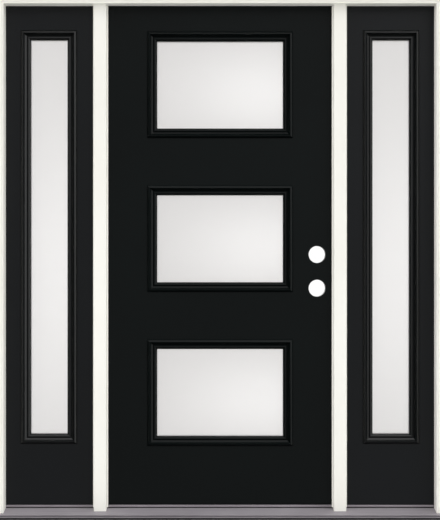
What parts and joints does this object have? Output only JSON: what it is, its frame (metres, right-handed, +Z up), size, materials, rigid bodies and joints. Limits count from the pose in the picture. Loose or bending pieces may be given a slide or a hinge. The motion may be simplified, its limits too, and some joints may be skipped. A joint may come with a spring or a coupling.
{
  "type": "door with sidelights",
  "caption": "Front entry unit: smooth black leaf with stacked frosted lites, hinged inward between narrow frosted sidelights in a white frame on a sloped metal sill.",
  "frame": {"origin": "middle of the unit's width and of the jamb's depth, on the sill's flat underside", "axes": "+Z up, +X to the right seen from outside, +Y inward to the room side, where the leaf swings"},
  "size_m": [1.778, 0.153, 2.074],
  "materials": {
    "frame_white": "satin off-white paint",
    "leaf_black": "smooth satin black paint",
    "sidelight_black": "smooth satin black paint",
    "panel_wood": "edges painted black",
    "frosted_glass": "satin etched",
    "sill_aluminium": "mill anodised",
    "sill_composite": "moulded dark composite",
    "black_seal": "soft black",
    "hinge_steel": "satin nickel"
  },
  "bodies": {
    "frame": {"bottom_hinge_frame_leaf": "hinge_steel", "door_sill_cap": "sill_aluminium", "head_face_trim": "frame_white", "head_jamb": "frame_white", "head_seal": "black_seal", "hinge_pins": "hinge_steel", "hinge_post": "frame_white", "hinge_side_seal": "black_seal", "left_face_trim": "frame_white", "left_post_cover": "frame_white", "left_side_jamb": "frame_white", "left_sidelight_bedding_bead": "black_seal", "left_sidelight_exterior_lite_frame": "sidelight_black", "left_sidelight_exterior_skin": "sidelight_black", "left_sidelight_glass": "frosted_glass", "left_sidelight_interior_lite_frame": "sidelight_black", "left_sidelight_interior_skin": "sidelight_black", "left_sidelight_rails": "panel_wood", "left_sidelight_stiles": "panel_wood", "left_sill_cap": "sill_aluminium", "middle_hinge_frame_leaf": "hinge_steel", "right_face_trim": "frame_white", "right_post_cover": "frame_white", "right_side_jamb": "frame_white", "right_sidelight_bedding_bead": "black_seal", "right_sidelight_exterior_lite_frame": "sidelight_black", "right_sidelight_exterior_skin": "sidelight_black", "right_sidelight_glass": "frosted_glass", "right_sidelight_interior_lite_frame": "sidelight_black", "right_sidelight_interior_skin": "sidelight_black", "right_sidelight_rails": "panel_wood", "right_sidelight_stiles": "panel_wood", "right_sill_cap": "sill_aluminium", "sill_deck": "sill_aluminium", "sill_substrate": "sill_composite", "strike_post": "frame_white", "strike_side_seal": "black_seal", "top_hinge_frame_leaf": "hinge_steel"},
    "leaf": {"leaf_hinge_stile": "panel_wood", "leaf_lock_stile": "panel_wood", "leaf_rails": "panel_wood", "leaf_exterior_skin": "leaf_black", "leaf_interior_skin": "leaf_black", "door_sweep": "black_seal", "top_exterior_lite_frame": "leaf_black", "top_interior_lite_frame": "leaf_black", "top_glass": "frosted_glass", "top_hinge_door_leaf": "hinge_steel", "middle_exterior_lite_frame": "leaf_black", "middle_interior_lite_frame": "leaf_black", "middle_glass": "frosted_glass", "middle_hinge_door_leaf": "hinge_steel", "bottom_exterior_lite_frame": "leaf_black", "bottom_interior_lite_frame": "leaf_black", "bottom_glass": "frosted_glass", "bottom_hinge_door_leaf": "hinge_steel"}
  },
  "joints": [
    {"name": "leaf_swing", "type": "hinge", "parent": "frame", "child": "leaf", "pos_m": [-0.457, 0.0655, 0], "axis": [0, 0, 1], "range_deg": [0, 170]}
  ]
}
